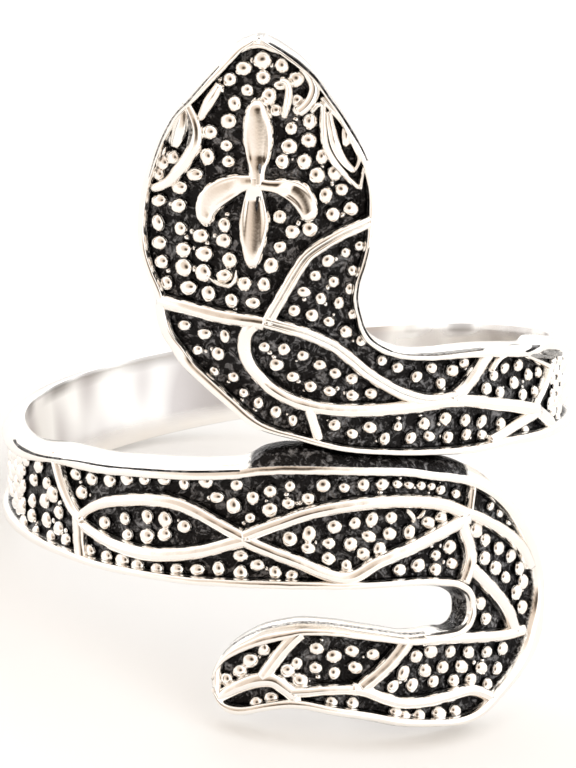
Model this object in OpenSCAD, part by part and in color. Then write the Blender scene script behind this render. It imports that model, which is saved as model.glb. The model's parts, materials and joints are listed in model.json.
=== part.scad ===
/* [Finger] */
// Inner diameter of the ring
finger_d = 20.6; // [19.8:0.2:21.4]

/* [Casting] */
// Thickness of the casting over the rims, at the sides of the finger
side_wall = 0.9; // [0.9:0.05:1.3]
// How far the bore sits back in the casting, which leaves the front thicker than the back
set_back = 0.25; // [0.1:0.05:0.3]
// How far the rims and ridges stand over the ground at the front
relief_h = 0.6; // [0.5:0.05:0.6]
// How far the rims stand over the ground at the back
back_relief_h = 0.3; // [0.2:0.05:0.35]
// Width of the rim that borders the band
rim_w = 0.5; // [0.35:0.05:0.7]
// How far the wall slopes out past the rim to the bore
slope_w = 0.35; // [0.1:0.05:0.5]
// How much the head swells over the band's ground
head_swell = 0.9; // [0.3:0.1:1.4]

/* [Granules] */
// Diameter of the granules on the head
head_granule_d = 0.72; // [0.6:0.02:0.8]
// Diameter of the granules on the neck, the band and the tail
band_granule_d = 0.56; // [0.5:0.02:0.62]
// Distance between granules, as a share of their diameter
granule_pitch = 1.65; // [1.65:0.05:2.2]
// Number of sides of a granule
granule_sides = 5; // [4:1:6]
// Height of the granules over the ground
granule_h = 0.45; // [0.3:0.05:0.6]

/* [Rest] */
// How far the ring leans back on the tail and the back of the band
lean_back = 20; // [0:0.1:40]
// How far it leans to its left, where the back of the band touches
lean_left = 8.6; // [-15:0.1:15]

/* [Hidden] */

bore_r = finger_d / 2;
// The rims lie on one cylinder of this radius, apart from the head
outer_r = bore_r + side_wall;
// Millimetres of outer surface in one degree of turn round the finger
mm_per_deg = outer_r * PI / 180;
// Centre and half size of the swell of the head, as turn and height
swell_at = [-6.5, 12];
swell_half = [30, 7.5];
// Longest step between two sections along the band
section_step = 2.2;
// Longest step between two sections of a raised stroke
stroke_step = 1.4;
// The stretch of turn at the back of the band that has no granules
plain_back = [100, 255];
// How far ridges and granules reach down into the ground
root = 0.25;
// Profile of a rim from the foot of the wall inwards: distance from the edge in widths of the slope and
// of the rim, then height over the ground as a share of the relief, or as a share of the way to the bore
rim_profile = [[-1, 0, -0.8], [0, 0, 0.62], [0, 0.45, 1], [0, 1, 0.8], [0, 1.3, 0]];
// The most of a narrow section that one rim, and the slope beside it, may take
rim_share = 0.22;
slope_share = 0.15;
// Where the points of the ground and of the bore lie between the edges
ground_places = [0.36, 0.5, 0.64];
bore_places = [0.66, 0.33];
// Profile of a raised stroke: distance from its middle in half widths, and height as a share of its own
stroke_profile = [[-1, 0], [-0.8, 0.7], [0, 1], [0.8, 0.7], [1, 0]];
// Step between the points that keep the granules clear of a stroke
guard_step = 0.5;
// How near a stroke's side, and how near a rim, a granule's middle may lie, as shares of its diameter
stroke_room = 0.45;
rim_room = 0.4;
// Distance between cross rows of granules, as a share of their pitch
row_share = 0.87;
// Height of a section's left edge above which it belongs to the head
head_from = 7.2;
silver = [0.78, 0.77, 0.74];

// The band as one strip from the tip of the head to the tip of the tail.
// A row is a section: turn in degrees and height in millimetres of its left edge, then of its right edge.
band_sections = [
    // the head, from its tip down to the neck
    [-6.7, 18.2, -4.2, 18.2],
    [-10.7, 17.9, -0.6, 17.9],
    [-14, 17.2, 2.8, 17.3],
    [-17.4, 16.4, 6.7, 16.6],
    [-21.2, 15.5, 9.9, 15.6],
    [-25.6, 14.5, 13.2, 14.6],
    [-28.3, 13.2, 16.1, 13.6],
    [-30.4, 12, 17.6, 12.5],
    [-31.1, 10.9, 17.8, 11.3],
    [-30.9, 9.7, 17.4, 10.1],
    [-29, 8.5, 15.3, 8.9],
    [-27, 7.4, 14.5, 7.7],
    // the neck, turning to the right
    [-26.3, 6.3, 15.5, 6.8],
    [-23.2, 5.3, 16.8, 6.4],
    [-17.2, 4.2, 18.4, 6.1],
    [-10.1, 3.1, 20.6, 5.85],
    [-3, 2.4, 23.5, 5.7],
    [4.6, 1.95, 27, 5.55],
    // the upper row, going round to the back
    [14, 1.65, 31, 5.45],
    [24, 1.4, 36, 5.45],
    [42.7, 1.25, 47, 5.3],
    [66.5, 1.3, 66.5, 4.9],
    [90, 0.85, 90, 4.2],
    // the back and the left side
    [135, 0.2, 135, 3.4],
    [180, -0.5, 180, 2.4],
    [225, -1.6, 225, 1.6],
    [270, -2.6, 270, 0.95],
    // the lower row across the front
    [300, -3, 300, 0.65],
    [329, -3.5, 329, 0.75],
    [360, -3.75, 360, 1.05],
    [384, -3.85, 384, 0.85],
    // the turn back to the left
    [392.5, -4, 398, 0.25],
    [395, -4.1, 405, -0.5],
    [397, -4.25, 412, -1.4],
    [398.3, -4.5, 418.5, -2.6],
    [398.8, -4.9, 422, -4.3],
    [398.3, -5.3, 421, -6.2],
    [396.5, -5.55, 416.5, -7.6],
    [393.5, -5.65, 409.7, -8.6],
    [389.2, -5.6, 402, -9.3],
    [384, -5.5, 392.5, -9.5],
    // the tail
    [375.7, -5.2, 377.4, -9.05],
    [362, -4.87, 362, -8.65],
    [355, -5.1, 355, -8.72],
    [350.5, -5.7, 350.5, -8.85],
    [346.8, -6.5, 347.2, -8.6],
    [345.1, -7, 345.2, -8]
];

// Raised strokes, each one drawn on the unrolled surface.
// Columns: width, height over the ground, width at the start and at the end as a share of the first,
// then the route as turn and height.
ridges = [
    // collar behind the head and the ridge up the side of the neck
    [0.66, 0.6, 1, 1, [[-26.5, 7.5], [-19.9, 7.3], [-12, 7], [-4, 6.95]]],
    [0.6, 0.6, 1, 1, [[-4, 6.85], [-0.8, 8], [4, 9.5], [11.4, 10.4], [17.4, 10.8]]],
    // forked ridges from the collar to the upper row
    [0.58, 0.6, 1, 1, [[-4, 7], [2.6, 6.5], [9.9, 5.8], [16.6, 4.8], [25, 3.9], [33.5, 3.4]]],
    [0.58, 0.6, 0.6, 1,
        [[-8.5, 6.6], [-8.7, 5.7], [-5, 4.65], [6.7, 3.5], [16.6, 3.2], [29, 3.2], [40, 3.2],
            [50, 2.85], [60, 2.3]]],
    [0.47, 0.55, 1, 1, [[4.2, 3.45], [6.5, 2.15]]],
    [0.52, 0.6, 1, 1, [[37.4, 3.4], [41.1, 4.1], [43.2, 4.65], [47.5, 5.1]]],
    [0.3, 0.5, 1, 1, [[47, 4.45], [50.7, 4.75], [55, 4.8], [61, 4.5], [69, 3.95]]],
    [0.45, 0.55, 1, 1, [[69.2, 4], [67.6, 3.2], [61.9, 2.4]]],
    [0.45, 0.55, 1, 1, [[60, 2.15], [53.3, 1.85], [47.6, 1.5]]],
    // strip and two leaves along the lower row
    [0.45, 0.55, 1, 1, [[-55.3, 0.45], [-52.9, -0.4], [-47.3, -1.8]]],
    [0.62, 0.6, 0.7, 1, [[-46.7, -1.5], [-40.6, -0.8], [-31.4, -0.5], [-20.4, -0.7], [-8.5, -1.8]]],
    [0.62, 0.6, 0.7, 1, [[-46.7, -1.7], [-38, -2.4], [-30.4, -2.65], [-16.8, -2.35], [-8.5, -1.9]]],
    [0.62, 0.6, 1, 1, [[-8.5, -1.8], [4.6, -0.8], [15, -0.55], [26.7, -0.5], [33.7, -0.75], [39.5, -1.3]]],
    [0.62, 0.6, 1, 1, [[-8.5, -1.9], [1.8, -2.6], [11.8, -3.3], [19.1, -2.8], [30, -2.1], [39.5, -1.4]]],
    [0.3, 0.5, 1, 1, [[41.1, -0.1], [41.1, -1.2]]],
    // strokes round the turn
    [0.55, 0.6, 1, 0.8, [[40, -1.25], [47, -1.8], [53.3, -2.55], [59.5, -3.7]]],
    [0.5, 0.55, 1, 1, [[39, -1.5], [40.5, -2.5], [39.8, -3.9]]],
    [0.5, 0.55, 1, 0.8, [[40.8, -3.4], [45.5, -4.1], [49.7, -4.9], [54.3, -6.2]]],
    [0.45, 0.55, 1, 1, [[31.6, -6], [41.3, -6.15], [50, -6.2], [58.5, -5.9]]],
    // strokes along the tail
    [0.55, 0.6, 1, 1, [[3, -5.4], [-2, -6.6], [-4.4, -7.5]]],
    [0.5, 0.6, 0.6, 1,
        [[-13.8, -8.1], [-5, -7.55], [2, -8.1], [13.8, -7.9], [23.8, -8.5], [35, -8.4], [44, -8.4]]],
    [0.55, 0.6, 1, 1, [[25.2, -5.9], [20.2, -7.2], [16.5, -8]]],
    // rims that close the tips of the tail and of the head
    [0.5, 0.6, 1, 1, [[-13.6, -6.5], [-14.3, -7.4], [-13.6, -8.4]]],
    [0.5, 0.6, 1, 1, [[-10.2, 17.6], [-5.5, 17.95], [-1.1, 17.6]]]
];

// Petals of the flower, the frames of the eyes and the scrolls on the head, in the same columns
head_strokes = [
    // the flower's four petals and its knot
    [1.35, 0.65, 0.15, 0.35, [[-5.7, 15.8], [-5.7, 14.5], [-5.7, 13.1]]],
    [1.3, 0.65, 0.35, 0.15, [[-6.2, 12.2], [-6.6, 10.6], [-6.9, 8.9]]],
    [0.8, 0.6, 0.7, 0.3, [[-7, 12.6], [-12.4, 12.3], [-16.1, 11.8], [-16.8, 11.1], [-15.3, 10.6]]],
    [0.8, 0.6, 0.7, 0.3, [[-4, 12.6], [0.8, 12.25], [4.2, 11.7], [5.4, 11.2], [5, 10.7]]],
    [1, 0.75, 0.6, 0.6, [[-7.5, 12.65], [-3.8, 12.65]]],
    // left eye
    [0.42, 0.55, 0.7, 0.7,
        [[-20.8, 15.7], [-18.4, 14.6], [-18.9, 13.4], [-22.1, 12.65], [-25.8, 12], [-29.5, 12]]],
    [0.8, 0.4, 0.5, 0.5, [[-22, 14.8], [-24.5, 13.5], [-27, 12.9]]],
    // right eye
    [0.42, 0.55, 0.7, 0.7,
        [[5, 15.3], [7.4, 15.5], [7.3, 14.6], [8.7, 13.7], [10.9, 13], [15.5, 12.1]]],
    [0.36, 0.55, 1, 1, [[6.9, 16.3], [11.1, 15], [13.2, 14.2], [15.8, 13.2]]],
    [0.5, 0.4, 0.5, 0.5, [[11.4, 14.3], [13, 13.5]]],
    // scrolls
    [0.36, 0.5, 0.7, 0.7, [[-14.5, 16.3], [-16.8, 15.55], [-18.9, 14.9]]],
    [0.34, 0.5, 0.7, 0.7, [[-1.2, 16.45], [-0.2, 15.7], [-0.8, 15.1], [-2.8, 15.3]]],
    [0.34, 0.5, 0.7, 0.7, [[2.4, 17], [5.3, 16.3], [3.4, 15.4], [1.6, 15.5]]],
    [0.3, 0.45, 0.7, 0.7, [[-17.2, 8.7], [-14.7, 8.25], [-12, 8.15], [-10.3, 8.65]]]
];

// Position of a point of the unrolled surface, at a height over the sunk ground
function swell(p) =
    let (u = (p[0] - swell_at[0]) / swell_half[0], v = (p[1] - swell_at[1]) / swell_half[1])
    head_swell * pow(max(0, 1 - u * u - v * v), 0.7);
function at_radius(p, r) = [r * sin(p[0]), -r * cos(p[0]), p[1]];
// The relief is deepest at the front, and the rims keep their radius all the way round
function relief_share(turn) =
    let (back = back_relief_h / relief_h) back + (1 - back) * (1 + cos(turn)) / 2;
function ground_at(p) = outer_r - relief_h * relief_share(p[0]) + swell(p);
function on_ring(p, h) = at_radius(p, ground_at(p) + h * relief_share(p[0]));
function bore_at(p) =
    let (aside = set_back * sin(p[0])) sqrt(bore_r * bore_r - aside * aside) - set_back * cos(p[0]);
function on_bore(p) = at_radius(p, bore_at(p));
function on_rim(p, share) =
    share < 0 ? at_radius(p, (1 + share) * ground_at(p) - share * bore_at(p)) : on_ring(p, share * relief_h);

// A smooth curve through rows of numbers
function between(a, b, c, d, t) =
    (2 * b + (c - a) * t + (2 * a - 5 * b + 4 * c - d) * t * t + (3 * b - a - 3 * c + d) * t * t * t) / 2;
function curve(rows, counts) = [
    for (i = [0 : len(rows) - 2])
        let (a = rows[max(i - 1, 0)], b = rows[i], c = rows[i + 1], d = rows[min(i + 2, len(rows) - 1)])
        for (k = [0 : counts[i] - 1]) between(a, b, c, d, k / counts[i]),
    rows[len(rows) - 1]
];
// Length of the step between two points of the unrolled surface
function span(a, b) = norm([(b[0] - a[0]) * mm_per_deg, b[1] - a[1]]);
function left_of(s) = [s[0], s[1]];
function right_of(s) = [s[2], s[3]];

// Joins rings of points of equal count into one closed skin, with a flat cap on each end
function skin_faces(rings, count) = concat(
    [[for (k = [count - 1 : -1 : 0]) k]],
    [for (i = [0 : rings - 2]) for (k = [0 : count - 1]) for (half = [0, 1])
        let (n = (k + 1) % count, a = i * count, b = a + count)
        half == 0 ? [a + k, a + n, b + n] : [a + k, b + n, b + k]],
    [[for (k = [0 : count - 1]) (rings - 1) * count + k]]
);

// One section of the band: rims at both edges, sunk ground between them and the smooth bore behind
function section_points(s) =
    let (
        a = left_of(s), b = right_of(s), w = span(a, b),
        rim = min(rim_w, rim_share * w), slope = min(slope_w, slope_share * w),
        inwards = [for (e = rim_profile) (e[0] * slope + e[1] * rim) / w],
        last = len(rim_profile) - 1
    ) concat(
        [for (k = [0 : last]) on_rim(a + (b - a) * inwards[k], rim_profile[k][2])],
        [for (f = ground_places) on_ring(a + (b - a) * f, 0)],
        [for (k = [last : -1 : 0]) on_rim(b + (a - b) * inwards[k], rim_profile[k][2])],
        [for (f = [1 - inwards[0], each bore_places, inwards[0]]) on_bore(a + (b - a) * f)]
    );

// How many sections go between two rows of the table, for a longest step
function band_counts(step) = [
    for (i = [0 : len(band_sections) - 2])
        let (s = band_sections[i], e = band_sections[i + 1])
        max(1, round((span(left_of(s), left_of(e)) + span(right_of(s), right_of(e))) / 2 / step))
];
band_rings = [for (s = curve(band_sections, band_counts(section_step))) section_points(s)];

module band() {
    points = [for (r = band_rings) each r];
    polyhedron(points, skin_faces(len(band_rings), len(band_rings[0])), convexity = 10);
}

// Where the band's points come to lie when the ring leans, and the middle of its foot there
function leaned(p) =
    let (
        y = p[1] * cos(lean_back) + p[2] * sin(lean_back),
        z = p[2] * cos(lean_back) - p[1] * sin(lean_back)
    ) [p[0] * cos(lean_left) - z * sin(lean_left), y, p[0] * sin(lean_left) + z * cos(lean_left)];
resting = [for (r = band_rings) for (p = r) leaned(p)];
function middle(values) = (min(values) + max(values)) / 2;
foot = [
    middle([for (p = resting) p[0]]), middle([for (p = resting) p[1]]), min([for (p = resting) p[2]])
];

// A raised stroke: a rounded strip laid along its route and rooted in the ground
function stroke_counts(route, step) = [
    for (i = [0 : len(route) - 2]) max(1, round(span(route[i], route[i + 1]) / step))
];
module stroke(row) {
    width = row[0];
    height = row[1];
    path = curve(row[4], stroke_counts(row[4], stroke_step));
    last = len(path) - 1;
    rings = [
        for (i = [0 : last])
            let (
                step = path[min(i + 1, last)] - path[max(i - 1, 0)],
                way = [step[0] * mm_per_deg, step[1]] / norm([step[0] * mm_per_deg, step[1]]),
                across = [-way[1] / mm_per_deg, way[0]],
                f = i / last,
                ends = row[2] * (1 - f) + row[3] * f,
                half = width / 2 * (ends + (1 - ends) * sin(180 * f))
            )
            [
                for (e = stroke_profile)
                    on_ring(path[i] + across * half * e[0], e[1] > 0 ? height * e[1] : -root)
            ]
    ];
    polyhedron([for (r = rings) each r], skin_faces(len(rings), len(rings[0])), convexity = 4);
}

// Points along the middle of every raised stroke, each with half the stroke's width
stroke_points = [
    for (row = concat(ridges, head_strokes))
        for (p = curve(row[4], stroke_counts(row[4], guard_step))) [p[0], p[1], row[0] / 2]
];
function turn_between(a, b) = let (d = (a - b) % 360) d > 180 ? d - 360 : d < -180 ? d + 360 : d;
function from_stroke(p, q) = norm([turn_between(p[0], q[0]) * mm_per_deg, p[1] - q[1]]) - q[2];
function clear_of_strokes(p, d) = min([for (q = stroke_points) from_stroke(p, q)]) > stroke_room * d;

// Places of the granules: cross rows along the band, every second one half a pitch aside
function granule_d(s) = s[1] > head_from ? head_granule_d : band_granule_d;
granule_lines = curve(band_sections, band_counts(row_share * granule_pitch * band_granule_d));
granules = [
    for (i = [1 : len(granule_lines) - 2])
        let (
            s = granule_lines[i], e = granule_lines[i + 1],
            a = left_of(s), b = right_of(s), w = span(a, b),
            d = granule_d(s), pitch = granule_pitch * d,
            count = floor((w - 2 * (rim_w + rim_room * d)) / pitch - (i % 2) / 2) + 1
        )
        if (count > 0 && (a[0] < plain_back[0] || a[0] > plain_back[1]))
            for (k = [0 : count - 1])
                let (
                    f = 0.5 + (k - (count - 1) / 2) * pitch / w,
                    p = a + (b - a) * f, next = left_of(e) + (right_of(e) - left_of(e)) * f
                )
                if ((i % 2 == 0 || span(p, next) > pitch / 2) && clear_of_strokes(p, d)) [p[0], p[1], d]
];

module granule(p, d) {
    top = granule_h * relief_share(p[0]);
    rotate([0, 0, p[0]]) translate([0, root - ground_at(p), p[1]]) rotate([90, 0, 0]) hull() {
        cylinder(d = d, h = root, $fn = granule_sides);
        translate([0, 0, root]) cylinder(d1 = d / 2, d2 = 0, h = top, $fn = granule_sides);
    }
}

module snake_ring() {
    color(silver) translate(-foot) rotate([-lean_back, -lean_left, 0]) union() {
        band();
        for (row = ridges) stroke(row);
        for (row = head_strokes) stroke(row);
        for (g = granules) granule(g, g[2]);
    }
}

snake_ring();
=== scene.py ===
# A snake wrap ring, cast in silver in one piece and antiqued: the ground between the raised work is
# blackened, and the rims, ridges, petals and granules over it are polished bright.
# The ring is drawn here about its finger bore, in millimetres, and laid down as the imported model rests.
import json
import math
import random
from functools import partial

import bpy
from mathutils import Matrix, Vector, noise


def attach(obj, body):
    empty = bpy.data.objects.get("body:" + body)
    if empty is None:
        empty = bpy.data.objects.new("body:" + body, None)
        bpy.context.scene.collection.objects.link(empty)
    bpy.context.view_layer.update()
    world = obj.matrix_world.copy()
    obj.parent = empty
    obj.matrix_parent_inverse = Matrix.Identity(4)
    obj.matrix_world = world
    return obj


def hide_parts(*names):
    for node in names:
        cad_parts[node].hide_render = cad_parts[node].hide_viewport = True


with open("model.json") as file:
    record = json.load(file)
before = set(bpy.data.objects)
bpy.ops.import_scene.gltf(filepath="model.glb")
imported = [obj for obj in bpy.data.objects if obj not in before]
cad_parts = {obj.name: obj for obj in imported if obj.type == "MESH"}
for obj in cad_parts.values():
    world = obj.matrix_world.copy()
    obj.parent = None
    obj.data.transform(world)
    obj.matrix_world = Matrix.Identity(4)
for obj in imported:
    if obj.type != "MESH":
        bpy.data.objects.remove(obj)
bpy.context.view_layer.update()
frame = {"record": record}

# The ring as it lies. Its bore leans back and to its left on the tail and the back of the band,
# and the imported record's mount says where the middle of the bore is and which way it points.
# The rims lie on a cylinder whose axis is a little in front of the bore's.
set_back = 0.25
bore_mount = frame["record"]["mounts"][0]
bore_axis = Vector(bore_mount["axis"]).normalized()
lean_back = math.asin(bore_axis.y)
lean_left = math.atan2(-bore_axis.x, bore_axis.z)
lying = (
    Matrix.Translation(bore_mount["pos_m"])
    @ Matrix.Rotation(-lean_left, 4, "Y")
    @ Matrix.Rotation(-lean_back, 4, "X")
    @ Matrix.Scale(0.001, 4)
    @ Matrix.Translation((0, -set_back, 0))
)

# The camera. It keeps the photograph's angle to the ring, ten degrees over the plane of the band,
# so it looks down at the floor more steeply and is rolled as far as the ring leans.
photo_w, photo_h = 576, 768
px_per_mm = 25.4
bore_centre_px = (287, 445)
look_down = math.radians(10)
camera_mm = 600
sensor_mm = 36

view_right = Vector((1, 0, 0))
view_up = Vector((0, math.sin(look_down), math.cos(look_down)))
view_along = Vector((0, math.cos(look_down), -math.sin(look_down)))
aim = (
    view_right * (photo_w / 2 - bore_centre_px[0]) / px_per_mm
    + view_up * (bore_centre_px[1] - photo_h / 2) / px_per_mm
)
eye = aim - view_along * camera_mm


def in_scene(name, data):
    """A new object that carries this data, in the scene."""
    made = bpy.data.objects.new(name, data)
    bpy.context.scene.collection.objects.link(made)
    return made


camera = in_scene("camera", bpy.data.cameras.new("camera"))
bpy.context.scene.camera = camera
camera.data.sensor_width = sensor_mm
camera.data.lens = sensor_mm * camera_mm * px_per_mm / photo_h
camera.data.clip_start = 0.05
camera.data.clip_end = 20
turned = lying.to_3x3().normalized() @ Matrix((view_right, view_up, -view_along)).transposed()
camera.matrix_world = Matrix.Translation(lying @ eye) @ turned.to_4x4()

# The floor: a plain matt white board under the ring.
floor_size = 6.0

reach = floor_size / 2
corners = [(-reach, -reach, 0), (reach, -reach, 0), (reach, reach, 0), (-reach, reach, 0)]
board = bpy.data.meshes.new("floor")
board.from_pydata(corners, [], [(0, 1, 2, 3)])
floor = in_scene("floor", board)
board_white = bpy.data.materials.new("white_board")
board_white.use_nodes = True
paint = board_white.node_tree.nodes["Principled BSDF"].inputs
paint["Base Color"].default_value = (0.9, 0.895, 0.885, 1)
paint["Roughness"].default_value = 0.9
paint["Specular IOR Level"].default_value = 0.1
board.materials.append(board_white)

# The light: a white tent all round. It is open towards the camera, which every grain of polished silver
# shows as a dark dot, and round that, more to the upper left, is the dimmer and warmer room.
tent_strength = 1.6
# How far the middle of the room is beside and over the lens, as shares of the distance to it
room_aside, room_above = -0.22, 0.25
towards_lens = turned.col[2]
towards_room = (towards_lens + room_aside * turned.col[0] + room_above * turned.col[1]).normalized()
# The light that comes from each angle round these two directions, in degrees
lens_rounds = [
    (0, (0.06, 0.055, 0.05, 1)), (10, (0.11, 0.095, 0.08, 1)), (22, (0.9, 0.87, 0.83, 1)),
    (28, (1, 1, 1, 1)), (180, (1, 1, 1, 1)),
]
room_rounds = [
    (0, (0.48, 0.39, 0.32, 1)), (28, (0.58, 0.5, 0.43, 1)), (42, (0.74, 0.69, 0.64, 1)),
    (56, (0.96, 0.95, 0.94, 1)), (180, (1, 1, 1, 1)),
]


def feed(node, inputs):
    """Gives inputs of a node their constants, or joins them where a node and its output are given."""
    for socket, value in inputs.items():
        if isinstance(value, tuple) and isinstance(value[0], bpy.types.Node):
            node.id_data.links.new(value[0].outputs[value[1]], node.inputs[socket])
        else:
            node.inputs[socket].default_value = value


def node_in(tree, kind, inputs=(), **settings):
    """A new node with its settings and its inputs. A kind that names no family is a ShaderNode."""
    node = tree.nodes.new(kind if "Node" in kind else "ShaderNode" + kind)
    for name, setting in settings.items():
        setattr(node, name, setting)
    feed(node, dict(inputs))
    return node


world = bpy.data.worlds.new("tent")
bpy.context.scene.world = world
world.use_nodes = True
node = partial(node_in, world.node_tree)
direction = node("TexCoord")
both = node("Mix", {"Factor": 1}, data_type="RGBA", blend_type="MULTIPLY")
for middle, rounds, socket in ((towards_lens, lens_rounds, "A"), (towards_room, room_rounds, "B")):
    facing = node("VectorMath", {0: (direction, "Generated"), 1: middle}, operation="DOT_PRODUCT")
    angle = node("Math", {0: (facing, "Value")}, operation="ARCCOSINE")
    half_turns = node("Math", {0: (angle, 0), 1: math.pi}, operation="DIVIDE")
    seen = node("ValToRGB", {"Fac": (half_turns, 0)})
    while len(seen.color_ramp.elements) < len(rounds):
        seen.color_ramp.elements.new(0.5)
    for stop, (degrees, colour) in zip(seen.color_ramp.elements, rounds):
        stop.position = degrees / 180
        stop.color = colour
    feed(both, {socket: (seen, "Color")})
feed(world.node_tree.nodes["Background"], {"Strength": tent_strength, "Color": (both, "Result")})

bpy.context.scene.view_settings.view_transform = "Standard"
bpy.context.scene.view_settings.look = "None"


# The cast wall: one strip that winds from the head down round the finger to the tail, with a rim along
# each edge, sunk ground between the rims and the smooth bore behind. It is cast in silver in one piece.
bore_r = bore_mount["dims"]["r_mm"]
side_wall = 0.9
outer_r = bore_r + side_wall
relief = 0.6
back_relief = 0.3
mm_per_deg = outer_r * math.pi / 180
# The swell of the head: its height, its middle and reach in degrees and millimetres, and how full it is
swell_h = 0.9
swell_middle = Vector((-6.5, 12))
swell_reach = Vector((30, 7.5))
swell_power = 0.7
# The length of a step along the wall, and the points across the ground between two rims
section_step = 0.22
ground_columns = 9


def relief_share(turn):
    """How deep the relief is at a turn, as a share of its depth at the front."""
    back = back_relief / relief
    return back + (1 - back) * (1 + math.cos(math.radians(turn))) / 2


def ground_at(turn, height):
    """Radius of the sunk ground. The head swells over that of the band."""
    u = (turn - swell_middle.x) / swell_reach.x
    v = (height - swell_middle.y) / swell_reach.y
    return outer_r - relief * relief_share(turn) + swell_h * max(0.0, 1 - u * u - v * v) ** swell_power


def bore_at(turn):
    """Distance of the bore's wall from the axis of the rims."""
    aside = set_back * math.sin(math.radians(turn))
    return math.sqrt(bore_r * bore_r - aside * aside) - set_back * math.cos(math.radians(turn))


def on_ring(place, lift):
    """A point of the lying ring, at a turn and a height on the unrolled skin. Its lift is its height over
    the ground, or with a minus its depth in the wall, as a share of the way down to the bore."""
    r = ground_at(*place)
    r += lift * (relief_share(place[0]) if lift > 0 else r - bore_at(place[0]))
    turn = math.radians(place[0])
    return lying @ Vector((r * math.sin(turn), -r * math.cos(turn), place[1]))


def seen_at(x, y, lift=0.5):
    """Turn and height of the place on the skin that the photograph shows at a pixel."""
    sight = view_along * camera_mm
    sight = sight + view_right * (x - photo_w / 2) / px_per_mm + view_up * (photo_h / 2 - y) / px_per_mm
    turn, height = 0.0, 0.0
    for _ in range(6):
        r = ground_at(turn, height) + lift * relief_share(turn)
        a = sight.x**2 + sight.y**2
        b = eye.x * sight.x + eye.y * sight.y
        c = eye.x**2 + eye.y**2 - r * r
        point = eye + sight * (-b - math.sqrt(max(0.0, b * b - a * c))) / a
        turn, height = math.degrees(math.atan2(point.x, -point.y)), point.z
    return Vector((turn, height))


def flat_length(step):
    """Length in millimetres of a step on the unrolled skin."""
    return math.hypot(step[0] * mm_per_deg, step[1])


def smooth_rows(rows, counts):
    """Rows of numbers along a smooth curve through the given rows, with so many steps in each stretch."""
    out = []
    for i, count in enumerate(counts):
        a, b, c, d = rows[max(i - 1, 0)], rows[i], rows[i + 1], rows[min(i + 2, len(rows) - 1)]
        for k in range(count):
            t = k / count
            out.append(
                [
                    q + t * (r - p + t * (2 * p - 5 * q + 4 * r - s + t * (3 * q - p - 3 * r + s))) / 2
                    for p, q, r, s in zip(a, b, c, d)
                ]
            )
    out.append(list(rows[-1]))
    return out


# Sections that the photograph shows: the left and the right edge in its pixels,
# then the width of the left and the right rim and of the bevel outside each, in hundredths of a millimetre.
head_to_upper_row_px = [
    (256, 37, 263, 38, 26, 26, 10, 10), (242, 42, 275, 44, 28, 26, 18, 12),
    (230, 49, 288, 52, 28, 26, 25, 12), (218, 63, 301, 61, 28, 26, 25, 12),
    (202, 81, 318, 77, 28, 18, 22, 10), (187, 99, 331, 96, 28, 16, 18, 10),
    (173, 113, 343, 113, 28, 20, 15, 10), (163, 130, 354, 131, 28, 25, 12, 12),
    (155, 149, 363, 147, 28, 25, 12, 10), (149, 167, 369, 163, 28, 25, 12, 10),
    (144, 185, 373, 180, 28, 25, 12, 10), (141, 207, 375, 200, 28, 24, 12, 10),
    (140, 230, 373, 222, 28, 22, 12, 8), (143, 253, 370, 246, 28, 20, 12, 8),
    (149, 273, 365, 266, 30, 20, 12, 8), (155, 292, 360, 281, 35, 20, 15, 8),
    (157, 312, 358, 295, 42, 20, 18, 8), (161, 331, 359, 307, 46, 20, 20, 8),
    (170, 347, 362, 318, 48, 22, 22, 8), (179, 362, 366, 328, 48, 24, 22, 10),
    (196, 379, 371, 336, 46, 28, 20, 10), (224, 404, 380, 342, 40, 32, 16, 12),
    (255, 428, 392, 347, 34, 34, 12, 12), (296, 440, 410, 351, 28, 34, 8, 12),
    (340, 451, 435, 351, 26, 34, 6, 12), (390, 455, 462, 348, 26, 34, 6, 12),
    (430, 455, 485, 346, 28, 34, 6, 12), (471, 453, 510, 345, 32, 36, 8, 12),
    (503, 446, 530, 344, 34, 36, 8, 12),
]
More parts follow.
